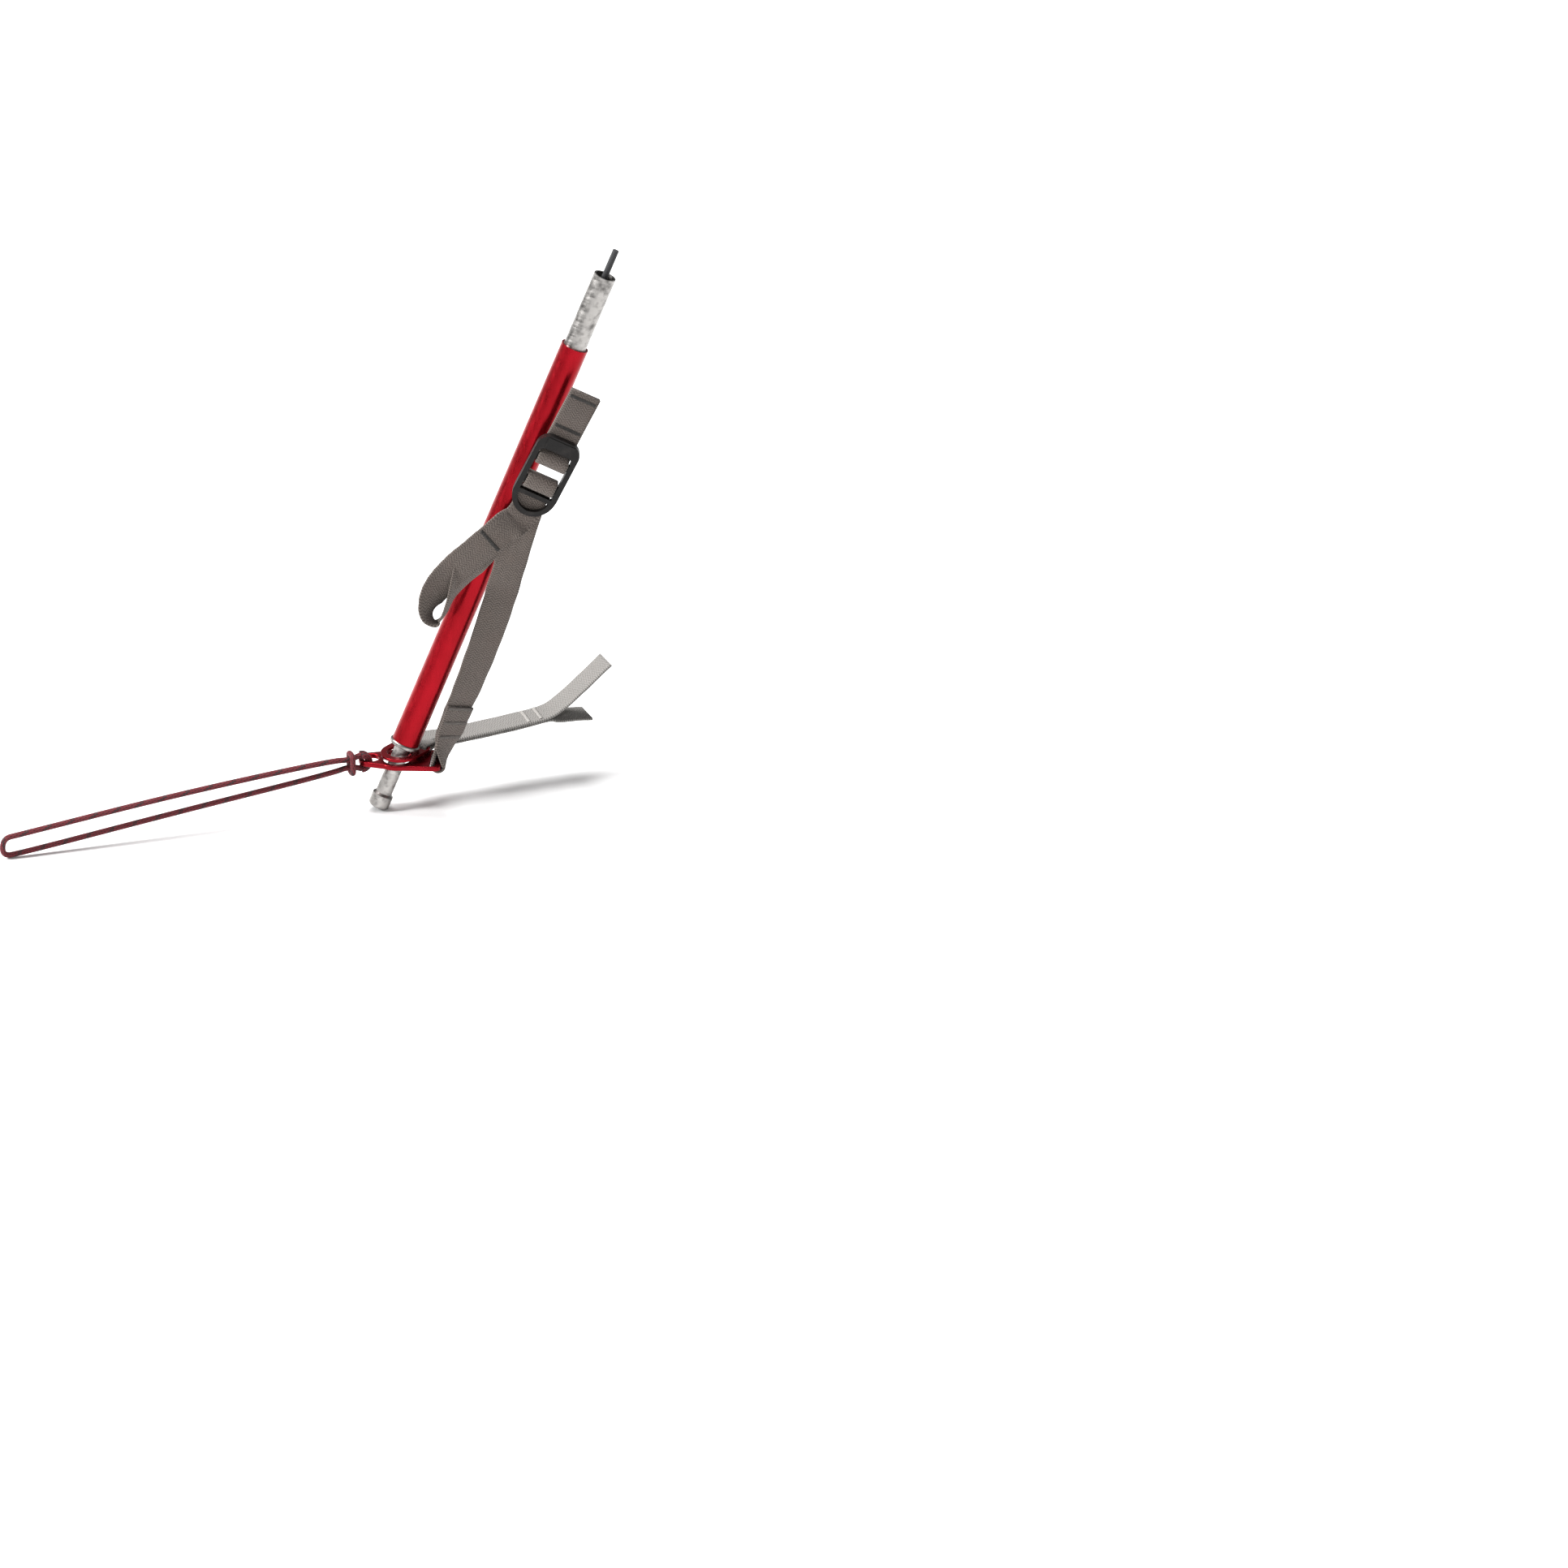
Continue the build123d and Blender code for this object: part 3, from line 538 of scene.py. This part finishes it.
ply = WEB_T / 2
bar_normal = STRAP_DIR.cross(square_to(STRAP_ACROSS, STRAP_DIR))
middle_r = WRAP_R + ply
doubled_ups = [k * 1.5 * MM for k in range(4, 14)]
folded = [(strap_point(u) - strap_normal(u) * ply, strap_across(u)) for u in doubled_ups[::-1]]
wrap = []
for k in range(17):
    a = math.pi * (1 - k / 16)
    place = BAR_CENTRE + bar_normal * (middle_r * math.cos(a)) - STRAP_DIR * (middle_r * math.sin(a))
    wrap.append((place, STRAP_ACROSS))
rising = [(strap_point(u) + strap_normal(u) * ply, strap_across(u)) for u in doubled_ups]
SINGLE_FROM = DOUBLE_TO + 2.5 * MM
STRAIGHT = 5.0 * MM  # of the strap, before the buckle
single = []
for k in range(30):
    up = SINGLE_FROM + (STRAP_LENGTH - STRAIGHT - SINGLE_FROM) * k / 29
    single.append((strap_point(up), strap_across(up)))
single += [(STRAP_TOP - BUCKLE_Y * 1.5 * MM, BUCKLE_X), (STRAP_TOP, BUCKLE_X)]
strap_keys = folded + wrap + rising + single
strap_path = [p for p, _ in strap_keys]
strap_widths = [a for _, a in strap_keys]
strap_web = tape("tension_strap_web", strap_path, strap_widths, DARK_WEB)
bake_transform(strap_web)
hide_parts("strap_foot", "tension_strap")


# --- tail -----------------------------------------------------------------------------------------
FLAT = Vector((-0.66, 0, 0.75))
STRAP_DEPTH = -2.38
TAIL_DEPTH = -1.4
STOP = -9.5
BACKWARDS = BUCKLE_X * -1
in_lock = [(STOP, STRAP_DEPTH), (-1.1, STRAP_DEPTH), (-0.4, -1.6), (-0.35, 0.9), (-1.0, 1.65)]
in_lock += [(-4.0, 1.65), (-4.75, 0.9), (-4.95, -0.6), (-5.7, TAIL_DEPTH), (STOP, TAIL_DEPTH)]
UNDER_TAB = [in_buckle(0, -13.6, -1.42), in_buckle(-0.5, -15.8, -1.1), in_buckle(-1.3, -17.8, -0.4)]
TAIL_ROUTE = [
    (mm(38.6, -5.3, 94.2), FLAT),
    (mm(34.1, -6.6, 90.6), FLAT),
    (mm(28.6, -7.4, 86.0), FLAT),
    (mm(22.6, -8.0, 80.6), FLAT),
    (mm(17.6, -8.3, 74.6), Vector((-0.72, -0.3, 0.6))),
    (mm(15.6, -8.2, 69.4), Vector((-0.61, -0.66, 0.43))),
    (mm(15.6, -7.7, 65.6), Vector((-0.35, -0.85, 0.38))),
    (mm(17.3, -7.2, 63.3), Vector((-0.1, -0.93, 0.35))),
    (mm(19.6, -6.8, 65.0), Vector((-0.15, -0.95, 0.2))),
    (mm(21.9, -6.4, 70.4), Vector((-0.23, -0.95, 0.2))),
    (mm(25.6, -6.0, 77.6), Vector((-0.5, -0.6, 0.5))),
    (mm(29.6, -6.2, 84.4), FLAT),
    (mm(34.6, -5.55, 90.2), FLAT),
]
tail_keys = [(place, BACKWARDS) for place in UNDER_TAB] + TAIL_ROUTE
lock_path = [in_buckle(0, y, z) for y, z in in_lock]
tail_path = lock_path[:-1] + eased([lock_path[-1]] + [p for p, _ in tail_keys], 8)
tail_widths = [BACKWARDS] * (len(lock_path) - 1) + eased([BACKWARDS] + [a for _, a in tail_keys], 8)
tail_web = tape("pull_tail_web", tail_path, tail_widths, DARK_WEB)
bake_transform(tail_web)
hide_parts("strap_in_buckle", "tail_loop")


# --- anchor web -----------------------------------------------------------------------------------
BEND_R = 1.45 + 0.425
FRONT, BACK = -2.15, -3.05  # depth of its two legs
line = [(30.0, FRONT), (20.0, FRONT), (9.6, FRONT), (8.6, -1.55), (8.2, -0.4)]
for k in range(23):
    a = math.radians(70 - 11 * k)
    line.append((5.8 + BEND_R * math.sin(a), BEND_R * math.cos(a)))
line += [(8.4, -2.6), (11.0, BACK), (20.0, BACK), (30.0, BACK)]
anchor_path = [in_buckle(0, y, z) for y, z in line]
anchor = tape("anchor_tab_web", anchor_path, [BUCKLE_X] * len(line), DARK_WEB)
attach(anchor, "anchor_tab")
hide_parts("anchor_web")


# --- body webbing ---------------------------------------------------------------------------------
RUN = [
    mm(20.0, 14.2, 14.7),
    mm(26.0, 16.2, 15.1),
    mm(34.0, 18.7, 15.9),
    mm(42.4, 21.3, 16.9),
    mm(50.5, 23.9, 18.1),
]
EDGE = [mm(55.0, 25.8, 20.6), mm(61.0, 28.2, 25.3), mm(70.0, 31.8, 33.2)]
FLOOR = [mm(54.0, 25.3, 16.9), mm(60.0, 27.7, 16.4), mm(64.0, 29.3, 15.9)]
half_ply = UP * ply
run_start = in_body_plate(12.6, 0, 0)


def body_layer(offset, end):
    """One layer of the body web, from the plate to its own free end."""
    path = [run_start + offset] + [place + offset for place in RUN] + end
    widths = [BODY_Y] + [RUN_ACROSS] * (len(RUN) + len(end))
    return eased(path, 8), eased(widths, 8)


up_path, up_width = body_layer(half_ply, EDGE)
low_path, low_width = body_layer(-half_ply, FLOOR)
level = 0.5 + 0.1 + 0.425
over_bar = [(10.0, level * 0.8), (8.75, level), (6.6, level), (6.2, 0.55)]
around = over_bar + [(x, -z) for x, z in over_bar[::-1]]
body_path = up_path[::-1] + [in_body_plate(x, 0, z) for x, z in around] + low_path
body_width = up_width[::-1] + [BODY_Y] * len(around) + low_width
body_web = tape("body_web_fold", body_path, body_width, LIGHT_WEB)
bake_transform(body_web)
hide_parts("body_web_loop", "body_web", "edge_web", "floor_tab")


# --- stitching ------------------------------------------------------------------------------------
ROW_REACH = (-4.2 * MM, -1.4 * MM, 1.4 * MM, 4.2 * MM)
LIFT = 0.03 * MM  # of the thread's middle over the face
THREAD_R = 0.13 * MM
STITCH_REACH = 0.6 * MM
STITCH_PITCH = 0.4 * MM


def zigzag(name, stations, material):
    """A close zigzag of thread over a line of (place, across, normal), its ends buried."""
    line = []
    count = int((stations[-1][0] - stations[0][0]).length / STITCH_PITCH)
    for k in range(2 * count + 1):
        t = k / (2 * count) * (len(stations) - 1)
        i = min(int(t), len(stations) - 2)
        f = t - i
        place, across, normal = [stations[i][n].lerp(stations[i + 1][n], f) for n in range(3)]
        step = across * STITCH_REACH * (1 if k % 2 else -1)
        line.append(place + step - normal * 0.12 * MM)
        line.append(place + step * 0.55 + normal * 0.1 * MM)
        line.append(place - step * 0.55 + normal * 0.1 * MM)
    return round_tube(name, line, THREAD_R, material, 6)


strap_rows = [(up * MM, side) for up in (9.0, 14.0, 19.0) for side in (1, -1)]
for number, (up, side) in enumerate(strap_rows):
    normal = strap_normal(up) * side
    across = square_to(strap_across(up), STRAP_DIR)
    centre = strap_point(up) + normal * (WEB_T + LIFT)
    row = [(centre + across * x, STRAP_DIR, normal) for x in ROW_REACH]
    made = zigzag(f"strap_stitch_{number}", row, STRAP_THREAD)
    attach(made, "strap")
    if number == 0:
        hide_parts("strap_bartack")

tail_along = (TAIL_ROUTE[2][0] - TAIL_ROUTE[0][0]).normalized()
tail_across = square_to(FLAT, tail_along)
tail_normal = tail_across.cross(tail_along)
if tail_normal.y > 0:
    tail_normal = -tail_normal
centre = TAIL_ROUTE[1][0] + tail_normal * (ply + LIFT)
row = [(centre + tail_across * x, tail_along, tail_normal) for x in ROW_REACH]
tail_stitch = zigzag("tail_stitch", row, DARK_THREAD)
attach(tail_stitch, "tail")
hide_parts("tail_bartack")

anchor_rows = [(up, depth, sign) for depth, sign in ((FRONT, 1), (BACK, -1)) for up in (17.0, 28.0)]
for number, (up, depth, sign) in enumerate(anchor_rows):
    normal = BUCKLE_Z * sign
    row = [(in_buckle(x / MM, up, depth) + normal * (ply + LIFT), BUCKLE_Y, normal) for x in ROW_REACH]
    made = zigzag(f"anchor_stitch_{number}", row, DARK_THREAD)
    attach(made, "anchor_tab")
    if number == 0:
        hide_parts("anchor_bartack")

run_along = (RUN[-1] - RUN[-2]).normalized()
run_across = square_to(RUN_ACROSS, run_along)
run_top = run_along.cross(run_across)
if run_top.z < 0:
    run_top = -run_top
for number, back in enumerate((2.0, 6.0)):
    centre = RUN[-1] - run_along * back * MM + run_top * (WEB_T + LIFT)
    row = [(centre + run_across * x, run_along, run_top) for x in ROW_REACH]
    made = zigzag(f"run_stitch_{number}", row, LIGHT_THREAD)
    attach(made, "body_run")
    if number == 0:
        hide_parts("web_bartack")


# --- carried-over nodes ---------------------------------------------------------------------------
finishes = {
    "pole_tube": TUBE_RED,
    # both plates take the darker red that carries painted shade
    "fly_plate": SHADED_PLATE_RED,
    "body_plate": SHADED_PLATE_RED,
    "pole_tip": METAL,
    "ferrule": METAL,
    "shock_cord": ELASTIC,
    "shock_cord_knot": ELASTIC,
    "ladderlock": PLASTIC,
}
for node, material in finishes.items():
    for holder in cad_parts[node].material_slots:
        holder.link = "OBJECT"
        holder.material = material
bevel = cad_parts["ladderlock"].modifiers.new("soft_edges", "BEVEL")
bevel.width = 0.45 * MM
bevel.segments = 3
bevel.limit_method = "ANGLE"
bevel.harden_normals = False


# --- floor and light ------------------------------------------------------------------------------
floor_mesh = bpy.data.meshes.new("floor")
SPREAD = 6.0
corners = [(x * SPREAD, y * SPREAD, GROUND_Z) for x, y in ((-1, -1), (1, -1), (1, 1), (-1, 1))]
floor_mesh.from_pydata(corners, [], [(0, 1, 2, 3)])
floor = bpy.data.objects.new("floor", floor_mesh)
bpy.context.scene.collection.objects.link(floor)
paper = Recipe("paper", 0.9)
paper.colour(paper.mix(paper.noise(3.0, 2), (0.93, 0.93, 0.93), (0.95, 0.95, 0.95)))
floor_mesh.materials.append(paper.mat)


def area_light(name, place, size, power, target=Vector((0.02, 0, 0.06))):
    data = bpy.data.lights.new(name, "AREA")
    data.shape = "DISK"
    data.size = size
    data.energy = power
    light = bpy.data.objects.new(name, data)
    light.location = place
    light.rotation_euler = (target - Vector(place)).to_track_quat("-Z", "Y").to_euler()
    bpy.context.scene.collection.objects.link(light)


area_light("key", (-1.7, -0.35, 1.2), 0.6, 56)
area_light("fill", (0.1, -1.9, 1.3), 1.1, 9)
area_light("top", (-0.2, 0.6, 2.2), 1.4, 58)
world = bpy.data.worlds.new("studio")
world.use_nodes = True
background = world.node_tree.nodes["Background"]
background.inputs["Color"].default_value = (1, 1, 1, 1)
background.inputs["Strength"].default_value = 0.24
bpy.context.scene.world = world
bpy.context.scene.view_settings.view_transform = "Standard"
